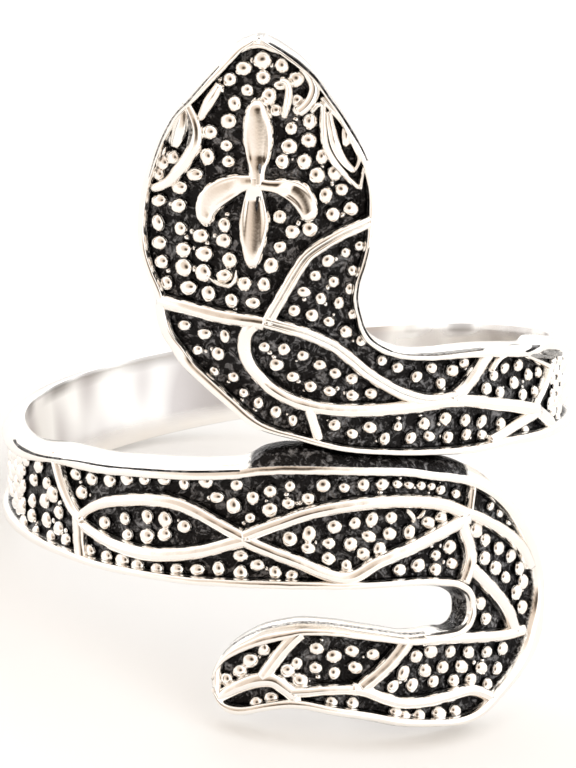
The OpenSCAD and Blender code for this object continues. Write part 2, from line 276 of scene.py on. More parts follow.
# Sections at the back: turn and height of the left and of the right edge, then the same four widths.
round_the_back = [
    (66.5, 1.0, 66.5, 5.05, 34, 36, 12, 15), (90, 0.85, 90, 4.3, 34, 34, 20, 20),
    (135, 0.2, 135, 3.5, 34, 34, 20, 20), (180, -0.5, 180, 2.5, 34, 34, 20, 20),
    (225, -1.6, 225, 1.7, 34, 34, 20, 25), (270, -2.65, 270, 1.05, 34, 34, 20, 30),
    (290, -2.98, 290, 0.85, 33, 34, 15, 30),
]
lower_row_to_tail_px = [
    (61, 555, 61, 446, 30, 34, 12, 33), (100, 569, 100, 455, 28, 34, 12, 33),
    (143, 578, 140, 459, 26, 34, 12, 33), (190, 585, 190, 462, 26, 34, 12, 33),
    (225, 587, 225, 461.5, 27, 34, 10, 33), (240, 588, 240, 460.5, 28, 34, 10, 32),
    (251, 588.3, 251, 457, 28, 33, 9, 40), (264, 588.5, 264, 450.5, 29, 33, 8, 60),
    (290, 589, 290, 446.5, 30, 33, 6, 72), (320, 589, 320, 450, 27, 33, 6, 60),
    (345, 589, 345, 454, 24, 33, 5, 46), (400, 586, 400, 457, 24, 33, 5, 38),
    (425, 585, 428, 458.5, 26, 33, 5, 47), (440, 586, 453, 460.5, 28, 33, 5, 50),
    (450, 587, 474, 468, 28, 34, 5, 41), (457, 590, 494, 482, 28, 34, 5, 33),
    (462, 594, 512, 500, 28, 36, 5, 33), (464.5, 600, 526, 524, 28, 40, 5, 33),
    (465, 606, 535, 550, 28, 42, 5, 30), (465, 611, 539, 578, 28, 44, 5, 28),
    (464, 616, 539, 606, 28, 60, 5, 25), (462, 620, 537, 628, 28, 84, 8, 22),
    (459, 624, 531, 649, 28, 72, 10, 20), (452, 628, 519, 671, 28, 55, 15, 18),
    (443, 629, 500, 695, 28, 42, 20, 16), (430, 631, 480, 716, 28, 34, 22, 14),
    (418, 633, 460, 725, 26, 32, 22, 12), (404, 633.5, 436, 727, 24, 30, 22, 10),
    (386, 631, 400, 726.5, 22, 30, 22, 10), (364, 628, 369, 721, 22, 30, 22, 10),
    (335, 624, 335, 716, 22, 30, 22, 10), (305, 622, 305, 710, 24, 30, 24, 10),
    (285, 624, 285, 709, 28, 30, 28, 10), (265, 628, 262, 712, 32, 30, 28, 10),
    (250, 634, 247, 715, 30, 30, 25, 10), (236, 642, 236, 715, 28, 30, 20, 10),
    (226, 650, 227, 712, 26, 28, 15, 10), (219, 660, 220, 705, 24, 26, 12, 10),
    (214, 672, 215, 693, 20, 22, 10, 10),
]
# How far over the ground the photograph shows an edge
edge_lift = 0.2
# How far a rim's foot reaches, in rim widths, and the share of a section that one side takes at most
rim_foot = 1.25
side_share = 0.42
# How far the skin is off its true shape, as a hand-finished casting is, and how deep the ground is pitted,
# each with how many there are to a millimetre
hand_cast, waves_per_mm = 0.025, 3
pitting, pits_per_mm = 0.05, 9
# Stretches of turn where the neck and the lower row face each other, and where the tail turns back.
# Painted shade darkens the facing sides there, at the neck under one height and the lower row over the
# other.
neck_shade = (-13, 45)
neck_below = 5.0
lower_row_shade = (350, 402)
tail_below = -4.5
inner_turn = (390, 500)
shade_blend = 4
black, grey, speckled, in_bore, bore_edge_shade = -0.1, 0.16, 0.3, 2.0, 3.0
# The middle and the reach of the stretch at the right where the bore's painted reflection stays bright
bright_bore = (110, 55)
bore_blend = 30
# The stretch where painted shade darkens the bore's upper edge, how strongly, and in what patches
edge_shade_stretch = (60, 300)
edge_shade_strength = 0.7
edge_shade_contrast = 1.8
edge_shade_patches_per_mm = 0.5


def section_at(row, whole_turns):
    """A row of pixels as a row of turns and heights on the unrolled skin."""
    left, right = seen_at(row[0], row[1], edge_lift), seen_at(row[2], row[3], edge_lift)
    return (left.x + whole_turns, left.y, right.x + whole_turns, right.y, *row[4:])


band_sections = (
    [section_at(row, 0) for row in head_to_upper_row_px]
    + round_the_back
    + [section_at(row, 360) for row in lower_row_to_tail_px]
)
band_sections = [(*row[:4], *(width / 100 for width in row[4:])) for row in band_sections]


def step_counts(rows, longest):
    """How many steps each stretch between two sections takes."""
    spans = [
        (flat_length((e[0] - s[0], e[1] - s[1])) + flat_length((e[2] - s[2], e[3] - s[3]))) / 2
        for s, e in zip(rows, rows[1:])
    ]
    return [max(1, round(span / longest)) for span in spans]


def rim_profile(rim, bevel):
    """From the bore's corner over the bevel and the rim to the ground: distance, lift and rise."""
    top = relief
    return [
        (-0.1, -0.93, 1), (-0.06, -0.45, 1), (-0.01, 0.1, 1), (0.04, 0.22, 1),
        (bevel * 0.5, 0.2 + (top - 0.2) * 0.55, 1), (bevel * 0.92, top * 0.93, 1),
        (bevel + rim * 0.1, top, 1), (bevel + rim * 0.5, top + 0.03, 1),
        (bevel + rim * 0.86, top - 0.01, 1), (bevel + rim * 0.98, top - 0.07, 0.9),
        (bevel + rim * 1.04, top * 0.45, 0.25), (bevel + rim * 1.1, 0.06, 0), (bevel + rim * rim_foot, 0, 0),
    ]


def within(value):
    """The value, kept between 0 and 1."""
    return min(1.0, max(0.0, value))


def shaded(side, corners, stretch, turn, rise):
    """Lowers the rise of some corners of a section inside a stretch of turn, gradually at its two ends."""
    share = within(min(turn - stretch[0], stretch[1] - turn) / shade_blend)
    for corner in side[corners]:
        corner[2] += (rise - corner[2]) * share


def wall_section(row):
    """Points round one section of the wall, each with its rise: 0 is black, 1 bright and 2 in the bore."""
    left, right = Vector(row[:2]), Vector(row[2:4])
    left_rim, right_rim, left_bevel, right_bevel = row[4:]
    width = flat_length(right - left)
    widest = max(left_rim * rim_foot + left_bevel, right_rim * rim_foot + right_bevel)
    fit = min(1.0, side_share * width / widest)
    left_side = [[d * fit, lift, rise] for d, lift, rise in rim_profile(left_rim, left_bevel)]
    right_side = [[width - d * fit, lift, rise] for d, lift, rise in rim_profile(right_rim, right_bevel)]
    # Painted shade: black on the sides where the neck and lower row face each other, grey inside the tail's
    # turn
    if left.y < neck_below:
        shaded(left_side, slice(0, 4), neck_shade, left.x, black)
    if right.y > tail_below:
        shaded(right_side, slice(0, 6), lower_row_shade, right.x, black)
    if left.x > inner_turn[0]:
        shaded(left_side, slice(0, 4), inner_turn, left.x, grey)
    elif left.x > neck_shade[1] and left.y < tail_below:
        shaded(left_side, slice(2, 4), (neck_shade[1], inner_turn[1]), left.x, speckled)
    near, far = left_side[-1][0], right_side[-1][0]
    column = (far - near) / (ground_columns + 1)
    ground = [(near + column * k, 0.0, 0.0) for k in range(1, ground_columns + 1)]
    points = []
    for d, lift, rise in left_side + ground + right_side[::-1]:
        place = left + (right - left) * (d / width)
        spot = Vector((place.x * mm_per_deg, place.y, 0))
        if lift >= 0:
            lift += hand_cast * noise.noise(spot * waves_per_mm)
            if rise < 0.05:
                lift += pitting * noise.noise(spot * pits_per_mm)
            lift = max(0.0, lift)
        points.append((on_ring(place, lift), rise))
    # Painted light in the bore: its rise sets the grey of the painted reflection, lighter in the stretch at
    # the right
    bore_reflection_rise = in_bore - within((bright_bore[1] - abs(right.x - bright_bore[0])) / bore_blend)
    upper_rise = bore_reflection_rise
    # Painted shade along the bore's upper edge, darker in patches
    if edge_shade_stretch[0] < right.x < edge_shade_stretch[1]:
        wave = noise.noise(Vector((right.x * mm_per_deg * edge_shade_patches_per_mm, 0, 7)))
        upper_rise += edge_shade_strength * (bore_edge_shade - bore_reflection_rise) * within(0.5 + edge_shade_contrast * wave)
    # Across the bore back to the left edge: the share of the width, and the rise
    for share, rise in (
        (1.02, upper_rise), (0.94, upper_rise), (0.84, bore_reflection_rise), (0.6, bore_reflection_rise), (0.3, bore_reflection_rise), (-0.02, 1.0)
    ):
        points.append((on_ring(left + (right - left) * share, -1), rise))
    return points


def skin_faces(rings, count):
    """Quads that join rings of equal count into one closed skin, with a cap on each end."""
    faces = [
        (i * count + k, (i + 1) * count + k, (i + 1) * count + (k + 1) % count, i * count + (k + 1) % count)
        for i in range(rings - 1)
        for k in range(count)
    ]
    faces.append(tuple(range(count)))
    faces.append(tuple(reversed(range((rings - 1) * count, rings * count))))
    return faces


def winds_inwards(points, faces):
    """Whether the faces of a closed skin face inwards, told by the sign of the volume in it."""
    volume = 0.0
    for face in faces:
        for second, third in zip(face[1:], face[2:]):
            volume += points[face[0]].dot(points[second].cross(points[third]))
    return volume < 0


def solid_piece(name, skins, material):
    """A smooth mesh of one or more closed skins, with the rise of every point as an attribute."""
    points, faces, rises = [], [], []
    for rings in skins:
        base = len(points)
        for ring in rings:
            points += [p for p, rise in ring]
            rises += [rise for p, rise in ring]
        skin = [tuple(base + n for n in face) for face in skin_faces(len(rings), len(rings[0]))]
        if winds_inwards(points, skin):
            skin = [face[::-1] for face in skin]
        faces += skin
    mesh = bpy.data.meshes.new(name)
    mesh.from_pydata(points, [], faces)
    mesh.attributes.new("rise", "FLOAT", "POINT").data.foreach_set("value", rises)
    mesh.shade_smooth()
    mesh.materials.append(material)
    piece = in_scene(name, mesh)
    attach(piece, "root")
    return piece


# The finish: polished silver where the casting stands up, black oxide left in the sunk ground.
silver_white = (0.96, 0.95, 0.93, 1)
silver_warm = (0.95, 0.9, 0.84, 1)
# A grey for the painted reflection in the bore, and a dark tint for the painted shade along its upper edge
silver_bore_reflection = (0.6, 0.57, 0.565, 1)
silver_bore_edge_shade = (0.16, 0.14, 0.125, 1)
# The oxide's colours, which the sides painted as shade between the rows take too
oxide_and_shade_black = (0.016, 0.015, 0.015, 1)
oxide_and_shade_grey = (0.3, 0.295, 0.3, 1)


def group_of(name, floats_in, colours_in, floats_out, colours_out):
    """A shader node group with these sockets, a function that adds a node to it, and its two ends."""
    group = bpy.data.node_groups.new(name, "ShaderNodeTree")
    for labels, way, kind in (
        (floats_in, "INPUT", "Float"), (colours_in, "INPUT", "Color"),
        (floats_out, "OUTPUT", "Float"), (colours_out, "OUTPUT", "Color"),
    ):
        for label in labels:
            group.interface.new_socket(label, in_out=way, socket_type="NodeSocket" + kind)
    node = partial(node_in, group)
    return group, node, node("NodeGroupInput"), node("NodeGroupOutput")


def mixed(node, factor, a, b, kind="RGBA"):
    """A node that mixes two colours, or two values where the kind is FLOAT."""
    return node("Mix", {"Factor": factor, "A": a, "B": b}, data_type=kind)


def oxide_and_shade_in_recess():
    """Where the oxide is polished off: 0 in the ground and the painted shade, 1 where raised, with a ragged
    border.
    """
    group, node, given, result = group_of(
        "oxide_and_shade_in_recess",
        ["Rise", "Black Below", "Bright Above", "Grain Scale", "Raggedness"], [], ["Bright"], [],
    )
    place = (node("TexCoord"), "Object")
    grain = node("TexNoise", {"Vector": place, "Scale": (given, "Grain Scale"), "Detail": 3})
    centred = node("Math", {0: (grain, "Fac"), 1: 0.5}, operation="SUBTRACT")
    ragged = {0: (centred, 0), 1: (given, "Raggedness"), 2: (given, "Rise")}
    shifted = node("Math", ragged, operation="MULTIPLY_ADD")
    bright = node("MapRange", {"Value": (shifted, 0)}, interpolation_type="SMOOTHSTEP")
    feed(bright, {"From Min": (given, "Black Below"), "From Max": (given, "Bright Above")})
    feed(result, {"Bright": (bright, "Result")})
    return group


def crystal_ground():
    """The blackened ground and painted shade: crystals of oxide, most black and a few grey, and their
    height.
    """
    group, node, given, result = group_of(
        "crystal_ground", ["Crystal Scale", "Streak Scale"], ["Black", "Grey"], ["Height"], ["Color"]
    )
    place = (node("TexCoord"), "Object")
    cells = node("TexVoronoi", {"Vector": place, "Scale": (given, "Crystal Scale")})
    streaks = {"Vector": place, "Scale": (given, "Streak Scale"), "Roughness": 0.7, "Distortion": 1}
    clouds = node("TexNoise", {**streaks, "Detail": 6})
    patch = node("MapRange", {"Value": (clouds, "Fac"), "From Min": 0.5, "From Max": 0.68})
    tint = mixed(node, (patch, "Result"), (given, "Black"), (given, "Grey"))
    feed(result, {"Color": (tint, "Result"), "Height": (cells, "Distance")})
    return group


def silver_sheen():
    """The tint and the roughness of polished silver, which vary softly over a hand-finished casting.
    At rise 2, in the bore, it is duller with painted reflection in upright bands, towards 3 painted shade."""
    group, node, given, result = group_of(
        "silver_sheen", ["Rise", "Patch Scale", "Band Scale", "Smooth", "Rubbed", "Dull"],
        ["White", "Warm", "Worn", "Smudge"], ["Roughness"], ["Color"],
    )
    place = (node("TexCoord"), "Object")
    patches = node("TexNoise", {"Vector": place, "Scale": (given, "Patch Scale"), "Detail": 2})
    tint = mixed(node, (patches, "Fac"), (given, "White"), (given, "Warm"))
    rubbing = {"Value": (patches, "Fac"), "To Min": (given, "Smooth"), "To Max": (given, "Rubbed")}
    rub = node("MapRange", rubbing)
    # Painted reflection in the bore: grey upright bands over the white
    upright = node("VectorMath", {0: place, 1: (1, 1, 0.15)}, operation="MULTIPLY")
    along = {"Vector": (upright, "Vector"), "Scale": (given, "Band Scale"), "Detail": 1}
    bands = node("TexNoise", along)
    banding = node("MapRange", {"Value": (bands, "Fac"), "From Min": 0.4, "From Max": 0.6})
    band_tint = mixed(node, (banding, "Result"), (given, "Worn"), (given, "White"))
    inside = node("MapRange", {"Value": (given, "Rise"), "From Min": 1.2, "From Max": 1.8})
    whole_tint = mixed(node, (inside, "Result"), (tint, "Result"), (band_tint, "Result"))
    whole_rub = mixed(node, (inside, "Result"), (rub, "Result"), (given, "Dull"), "FLOAT")
    # Painted shade towards rise 3, along the bore's upper edge
    edge_shading = node("MapRange", {"Value": (given, "Rise"), "From Min": 2, "From Max": 3})
    edge_shaded_tint = mixed(node, (edge_shading, "Result"), (whole_tint, "Result"), (given, "Smudge"))
    feed(result, {"Color": (edge_shaded_tint, "Result"), "Roughness": (whole_rub, "Result")})
    return group


oxide_and_shade_group, ground_group, sheen_group = oxide_and_shade_in_recess(), crystal_ground(), silver_sheen()


def antiqued_silver(name, black_below, bright_above, ragged, smooth, rubbed):
    """Silver that is black where its rise attribute is low and polished where it is high."""
    material = bpy.data.materials.new(name)
    material.use_nodes = True
    node = partial(node_in, material.node_tree)
    rise = (node("Attribute", attribute_name="rise"), "Fac")
    bright_mask = node("Group", node_tree=oxide_and_shade_group)
    feed(bright_mask, {"Rise": rise, "Black Below": black_below, "Bright Above": bright_above})
    feed(bright_mask, {"Grain Scale": 9000, "Raggedness": ragged})
    ground = node("Group", node_tree=ground_group)
    feed(ground, {"Crystal Scale": 9000, "Streak Scale": 2300, "Black": oxide_and_shade_black, "Grey": oxide_and_shade_grey})
    sheen = node("Group", node_tree=sheen_group)
    feed(sheen, {"White": silver_white, "Warm": silver_warm, "Worn": silver_bore_reflection, "Smudge": silver_bore_edge_shade})
    feed(sheen, {"Rise": rise, "Patch Scale": 900, "Band Scale": 450})
    feed(sheen, {"Smooth": smooth, "Rubbed": rubbed, "Dull": 0.3})
    colour = mixed(node, (bright_mask, "Bright"), (ground, "Color"), (sheen, "Color"))
    roughness = mixed(node, (bright_mask, "Bright"), 0.4, (sheen, "Roughness"), "FLOAT")
    fade = node("Math", {0: (bright_mask, "Bright"), 1: -0.97, 2: 1}, operation="MULTIPLY_ADD")
    height = node("Math", {0: (ground, "Height"), 1: (fade, 0)}, operation="MULTIPLY")
    bump = node("Bump", {"Height": (height, 0), "Strength": 0.7, "Distance": 0.00005})
    metal = material.node_tree.nodes["Principled BSDF"]
    feed(metal, {"Metallic": 1, "Base Color": (colour, "Result")})
    feed(metal, {"Roughness": (roughness, "Result"), "Normal": (bump, "Normal")})
    return material


wall_silver = antiqued_silver(
    "antiqued_silver_wall", black_below=0.15, bright_above=0.5, ragged=0.5, smooth=0.1, rubbed=0.2
)
wall_rows = smooth_rows(band_sections, step_counts(band_sections, section_step))
wall_rings = [wall_section(row) for row in wall_rows]
for end in (0, -1):
    wall_rings[end] = [(point, 1.0) for point, rise in wall_rings[end]]
ring_wall = solid_piece("cast_wall", [wall_rings], wall_silver)
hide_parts("snake_ring")


# The raised ridges: gabled strips of silver that stand as high as the rims and run into them,
# a collar behind the head, forks along the neck, two leaves on the lower row and forks on the tail.
ridge_silver = antiqued_silver(
    "antiqued_silver_ridges", black_below=0.12, bright_above=0.45, ragged=0.3, smooth=0.09, rubbed=0.16
)
ridge_step = 0.14
ridge_root = -0.4
# How high a ridge stands where its width runs out, as a share of its height, and how uneven its top is
thin_height = 0.6
top_uneven, bumps_per_mm = 0.02, 3


def both_sides(half):
    """A profile from its left half, which ends beside the middle or in it."""
    return half + [(-side, *rest) for side, *rest in reversed(half) if side]


# Cross-sections of a ridge, as shares of its half width and its height, and the rise there
gable = both_sides(
    [(-1, -1, 0), (-0.98, 0.1, 0), (-0.9, 0.55, 0.5), (-0.78, 0.82, 1), (-0.4, 0.92, 1), (-0.05, 1, 1)]
)
creased = both_sides(
    [(-1, -1, 0), (-0.98, 0.1, 0), (-0.92, 0.6, 0.5), (-0.8, 0.85, 1), (-0.45, 1, 1), (-0.12, 0.94, 1),
     (0, 0.72, 0.2)]
)
# A thin dark line in the polished silver, and a fainter grey one
cut_line = both_sides([(-1, 0.5, 0), (-0.7, 0.97, 0), (0, 1, 0)])
faint_line = [(side, up, 0.24) for side, up, rise in cut_line]


def ridge(route_px, width_px, height=0.62, start=1, end=1, profile=gable):
    """Rings of a ridge along a route of pixels. Start and end are its widths there, as shares."""
    stops = [seen_at(x, y) for x, y in route_px]
    counts = [max(1, round(flat_length(b - a) / ridge_step)) for a, b in zip(stops, stops[1:])]
    path = [Vector(p) for p in smooth_rows(stops, counts)]
    last = len(path) - 1
    rings = []
    for i, place in enumerate(path):
        step = path[min(i + 1, last)] - path[max(i - 1, 0)]
        length = flat_length(step)
        across = Vector((-step.y / mm_per_deg, step.x * mm_per_deg)) / length
        f = i / last
        ends = start * (1 - f) + end * f
        share = ends + (1 - ends) * math.sin(math.pi * f)
        half = width_px / px_per_mm / 2 * share
        ring = []
        for side, up, rise in profile:
            spot = place + across * side * half
            lift = ridge_root
            if up >= 0:
                on_skin = (spot.x * mm_per_deg * bumps_per_mm, spot.y * bumps_per_mm, 2)
                lift = up * height * min(1.0, thin_height + (1 - thin_height) * share)
                lift += top_uneven * noise.noise(Vector(on_skin))
            ring.append((on_ring(spot, lift), rise))
        rings.append(ring)
    return rings


def ridges(name, rows):
    """A piece of ridges. Each row is what the function for one ridge takes."""
    solid_piece(name, [ridge(*row) for row in rows], ridge_silver)


ridges("neck_ridges", [
    # the collar, and the ridge that runs from its end up the right side of the neck
    ([(158, 301), (185, 308), (215, 316), (238, 320), (264, 324)], 16, 0.66),
    ([(266, 324), (283, 295), (294, 276), (307, 257), (325, 244), (343, 234), (359, 227), (371, 221)], 14,
        0.64, 1, 1, creased),
    # the upper and the lower fork from the collar to the upper row
    ([(264, 322), (300, 332), (318, 339), (336, 348), (353, 361), (370, 375), (397, 391), (420, 399),
        (440, 400), (456, 397)], 14, 0.64, 1, 1, creased),
    ([(258, 322), (246, 333), (244, 351), (252, 370), (271, 389), (295, 402), (320, 408.5), (345, 411),
        (368, 411), (397, 409), (425, 406), (448, 402), (470, 401), (494, 404), (515, 406), (540, 410)], 15),
    ([(308, 405), (319, 440)], 12, 0.6),
    # strokes at the right end of the upper row
    ([(452, 400), (467, 388), (477, 375), (486, 362), (497, 351)], 15, 0.62, 1, 0.5),
    ([(492, 372), (501, 359), (514, 353), (524, 354), (538, 360), (551, 366)], 6, 0.58),
    ([(553, 363), (550, 375), (546.6, 386), (541, 398), (536, 410)], 7, 0.58),
    ([(541, 412), (519, 425), (492, 441)], 12, 0.58),
    ([(506, 350), (522, 350), (538, 353), (549, 358)], 11, 0.6, 0.4, 0.3),
    # painted shade: a dark line and two grey ones stand for the shaded facets at the row's right end
    ([(515, 353.5), (524, 351.5), (532, 348.5), (541, 345)], 3.5, 0.66, 0.4, 0.6, cut_line),
    ([(524, 354), (538, 356), (551, 357)], 4.5, 0.66, 0.3, 1, faint_line),
    ([(541, 352.5), (550, 353), (560, 354)], 7, 0.68, 0.5, 0.8, faint_line),
    # the thin dark outline on the neck's right side and along the upper row
    ([(372, 227), (368.5, 246), (363.5, 266), (358.5, 281), (356.5, 295), (357.5, 307), (360.5, 319),
        (364.5, 329.5), (370, 338), (379, 345), (391, 351)], 2, 0.7, 0.6, 0.9, cut_line),
    ([(388, 350), (398, 352.8), (410, 354), (435, 353.6), (460, 351), (484, 348.3)], 1.1, 0.7, 0.9, 0.6,
        faint_line),
    ([(540, 411), (550, 419), (558, 427)], 15, 0.58, 1, 0.4),
])
ridges("lower_row_ridges", [
    ([(51, 452), (60, 485), (70, 508), (80, 521)], 12),
    ([(76, 519), (84, 511), (102, 503), (120, 501), (139, 500), (166, 502), (188, 509), (212, 522),
        (246, 540)], 15, 0.62, 0.6),
    ([(74, 520), (88, 531), (112, 545), (143, 554), (172, 555), (200, 552), (224, 546), (250, 539)], 16,
        0.62, 0.6),
    ([(242, 538), (260, 531), (280, 524), (310, 514), (345, 507), (380, 503), (415, 502), (445, 505),
        (468, 514)], 15),
    ([(242, 540), (262, 549), (296, 562), (345, 579), (380, 563), (416, 547), (445, 532), (470, 518)], 15),
    ([(475, 488), (472, 514)], 8, 0.55),
    # two short strokes in the right leaf
    ([(409, 511), (414, 516), (416, 523)], 7, 0.5, 0.6, 0.6),
    ([(419, 519), (424, 515), (427, 511)], 5, 0.5, 0.6, 0.6),
    ([(75, 516), (76, 530), (77, 545), (79, 560)], 15, 0.6),
    # the dark line along the upper rim
    ([(13, 440), (17, 444.5), (24, 449), (35, 453.5), (47, 456.5), (62, 458.5)], 3, 0.66, 0.4, 1, cut_line),
    ([(62, 458.5), (80, 461), (106, 465.5), (140, 468.5), (190, 471), (240, 470)], 1.6, 0.66, 1, 1,
        cut_line),
])
ridges("turn_ridges", [
    ([(464, 512), (479, 516.5), (490, 522), (501, 528), (514, 537.5), (525, 549), (533, 566)], 13),
    ([(464, 514), (466, 530), (471, 545), (473, 558), (471.5, 568), (466, 583)], 14),
    ([(472, 567), (484, 579), (495, 590), (505, 603), (512, 615), (517, 631)], 15, 0.62, 1, 1.1),
    ([(425, 641), (450, 639), (480, 637.5), (505, 635.5), (525, 630)], 13),
])
ridges("tail_ridges", [
    ([(301, 633), (290, 643), (277, 658), (262, 679)], 16),
    ([(216, 699), (228, 692), (242, 685.5), (257, 681), (272, 681), (284, 688), (296, 697)], 17, 0.62, 0.7),
    ([(290, 693), (306, 692.5), (330, 690.5), (356, 690)], 12),
    ([(295, 696), (296, 702), (296, 708)], 14, 0.58, 1, 0.7),
    ([(352, 689), (368, 692), (385, 699), (405, 703.5), (428, 702), (452, 696), (474, 690.5), (492, 697)],
        13, 0.62, 1.15),
    ([(410, 640), (400, 654), (384, 671), (362, 689)], 16),
    # the rim that closes the tip
    ([(222, 657), (217, 668), (215.5, 680), (217, 694), (223, 704)], 10, 0.6, 0.4, 0.4),
])

# The eyes and scrolls: narrower raised lines on the head, a leaf-shaped frame for each eye with a long lump
# in it, and small hooks and curls beside the flower.
ridges("eyes_and_scrolls", [
    # left eye
    ([(184, 102), (191, 117), (195, 131), (193.5, 146), (186, 159), (177, 171), (166, 183), (151, 189)], 15,
        0.6, 0.6, 0.6),
    ([(181, 105), (180, 119), (177, 133), (172, 147)], 18, 0.5, 0.4, 0.6),
    ([(186, 108), (189, 120), (190, 134), (186, 147)], 2.2, 0.62, 0.4, 0.4, faint_line),
    # right eye: the long left line, the inner one, the short right one and the one along the border
    ([(312, 113), (317, 106), (323, 106), (323.5, 129), (326, 147), (334, 162), (346, 176), (360, 189)], 8,
        0.6, 0.7, 0.7),
    ([(329, 112), (332, 129), (336.5, 147), (345, 162), (355, 172)], 11, 0.58, 0.6, 0.6),
    ([(361, 189), (363, 174), (367.5, 158)], 4.5, 0.58),
    ([(352, 136), (358, 150), (360, 160), (356, 171)], 6, 0.56, 0.6, 0.6),
    ([(322, 98), (331, 108), (341, 119), (349, 131), (355, 145), (361, 158)], 8, 0.58, 0.7, 0.8),
    ([(346, 127), (347.5, 137), (347, 147)], 11, 0.5, 0.6, 0.6),
    # scrolls
    ([(219, 85), (213, 95), (206, 106), (199, 120)], 13, 0.6, 0.8, 0.5),
    ([(209, 92), (216, 89.5), (223, 92)], 7, 0.5, 0.7, 0.7),
    ([(280, 81), (286, 82), (289, 90), (287.5, 103), (284, 118)], 9, 0.6, 0.9, 0.8),
    ([(300, 68.5), (307, 73), (312, 80), (315, 89), (312, 99), (306, 107), (298, 113)], 13, 0.62, 0.4, 0.9),
    ([(206, 277), (216, 284), (228, 287), (234, 281), (235.5, 271)], 5, 0.45, 0.6, 0.5),
    # the rim that closes the tip of the head
    ([(234, 54.5), (249, 46.3), (262, 44.8), (280, 54)], 9, 0.6, 0.4, 0.4),
    # the dark outline on the right border and the faint one on the left
    ([(262, 40.5), (274, 46), (287, 54), (300, 63), (316, 78.5), (329, 97.5), (341, 114.5), (352, 132),
        (361, 148), (366.5, 160)], 2.6, 0.7, 0.4, 0.8, cut_line),
    ([(219, 66), (205.5, 81), (190.5, 99), (176.5, 114), (166.5, 131), (158.5, 150), (152.5, 168),
        (147.5, 186)], 2, 0.7, 0.4, 0.6, faint_line),
])


# The flower: four smooth petals and a knot, the highest and brightest polished part of the head.
petal_silver = antiqued_silver(
    "antiqued_silver_flower", black_below=0.1, bright_above=0.3, ragged=0.1, smooth=0.06, rubbed=0.12
)
petal_step = 0.12
# The length over which a petal's tip comes down, and the square of the share of its height left at the end
petal_tip, tip_left = 0.45, 0.06
# The height from which a petal's side is bright, and over how much it turns so, as shares of the whole
bright_from, bright_blend = 0.3, 0.2
# Rows from a petal's root to its tip: the two edges in pixels
upper_petal_px = [
    (250, 184, 267, 184), (248, 172, 268, 172), (247, 162, 270.5, 162), (244, 150, 274, 149),
    (241.5, 137, 275.7, 136), (242, 125, 274.5, 123), (243.5, 113, 270.5, 112), (246.5, 106, 268, 105),
    (251, 99.5, 264.5, 99), (257.5, 95, 260.5, 95),
]
lower_petal_px = [
    (249, 176, 264, 176), (245.5, 190, 265, 190), (241.5, 204, 268.5, 204), (238.5, 220, 271.5, 220),
    (239, 236, 269.5, 236), (242, 250, 266, 250), (246, 263, 261, 263), (251, 270, 256, 270),
]
left_petal_px = [
    (262, 171, 262, 192), (248, 171, 248, 191), (235, 172, 238, 197), (221, 175, 229, 204),
    (208, 182, 221, 211), (199, 193, 217, 216), (196.5, 207, 216.5, 219), (199, 219, 213, 225),
    (203.5, 226, 209, 228),
]
right_petal_px = [
    (256, 172, 256, 190), (268, 176, 266, 191), (284, 176, 276, 194), (299, 178, 286, 200),
    (309, 184, 293, 207), (315.5, 194, 296.5, 213), (318.5, 206, 299, 218), (317.5, 216, 303.5, 221),
    (314, 220, 309, 222),
]
# Across a petal: distance from its middle in half widths, and its height there as a share of the whole.
# The top is nearly flat, and its border slopes down to steep sides.
petal_profile = both_sides(
    [(-1, 0.15), (-0.97, 0.4), (-0.9, 0.62), (-0.8, 0.78), (-0.68, 0.89), (-0.55, 0.95), (-0.35, 0.985),
     (0, 1)]
)
# The hollow in a petal's top: how far it reaches sideways, in half widths
scoop_half = 0.56
# The share of the length over which the hollow goes down where it begins
scoop_slope = 0.12


def petal(rows_px, height, scoop_from, scoop_to, scoop_depth):
    """Rings of a leaf with a flat top between two edges. Its tip comes down to the ground.
    The hollow in its top is deepest where it begins and runs out where it ends, in shares of the length."""
    edges = [section_at(row, 0) for row in rows_px]
    rows = smooth_rows(edges, step_counts(edges, petal_step))
    rings = []
    for i, row in enumerate(rows):
        a, b = Vector(row[:2]), Vector(row[2:])
        dome = height * math.sqrt(min(1.0, tip_left + (len(rows) - 1 - i) * petal_step / petal_tip))
        ring = [(on_ring(a, ridge_root), 0.0)]
        along = i / (len(rows) - 1)
        depth = 0.0
        if scoop_from < along < scoop_to:
            depth = scoop_depth * (scoop_to - along) / (scoop_to - scoop_from)
            depth *= min(1.0, (along - scoop_from) / scoop_slope)
        for side, up in petal_profile:
            spot = a + (b - a) * (side + 1) / 2
            lift = dome * up - depth * (abs(side) < scoop_half)
            ring.append((on_ring(spot, lift), within((up - bright_from) / bright_blend)))
        ring.append((on_ring(b, ridge_root), 0.0))
        rings.append(ring)
    return rings


solid_piece("flower", [
    petal(upper_petal_px, 0.8, 0.2, 0.8, 0.12),
    petal(lower_petal_px, 0.8, 0.12, 0.8, 0.3),
    petal(left_petal_px, 0.78, 0.2, 0.85, 0.12),
    petal(right_petal_px, 0.78, 0.3, 0.85, 0.2),
    ridge([(260, 161), (260.5, 168), (260, 176)], 3.6, 0.83, 0.6, 0.6, cut_line),
    ridge([(262, 190), (258.5, 195), (257, 204), (257, 214)], 3.4, 0.62, 0.5, 0.9, cut_line),
], petal_silver)


# The granules: small round grains of silver over the whole ground, each one cast with the wall
# and a little uneven. They are set out panel by panel as the photograph shows, and in rows at the back.
granule_silver = antiqued_silver(
    "antiqued_silver_granules", black_below=0.2, bright_above=0.55, ragged=0.4, smooth=0.05, rubbed=0.1
)
# The middle of a granule over the ground, in millimetres for finding its place in the photograph
# and as a share of its size for setting it there, and how much the sizes differ
middle_lift = 0.25
granule_lift = 0.2
size_spread = 0.08
# How many granules have a small one beside them, how far off it is and its size, in sizes of the granule
satellite_share = 0.4
satellite_step = 0.6
satellite_sizes = (0.22, 0.42)

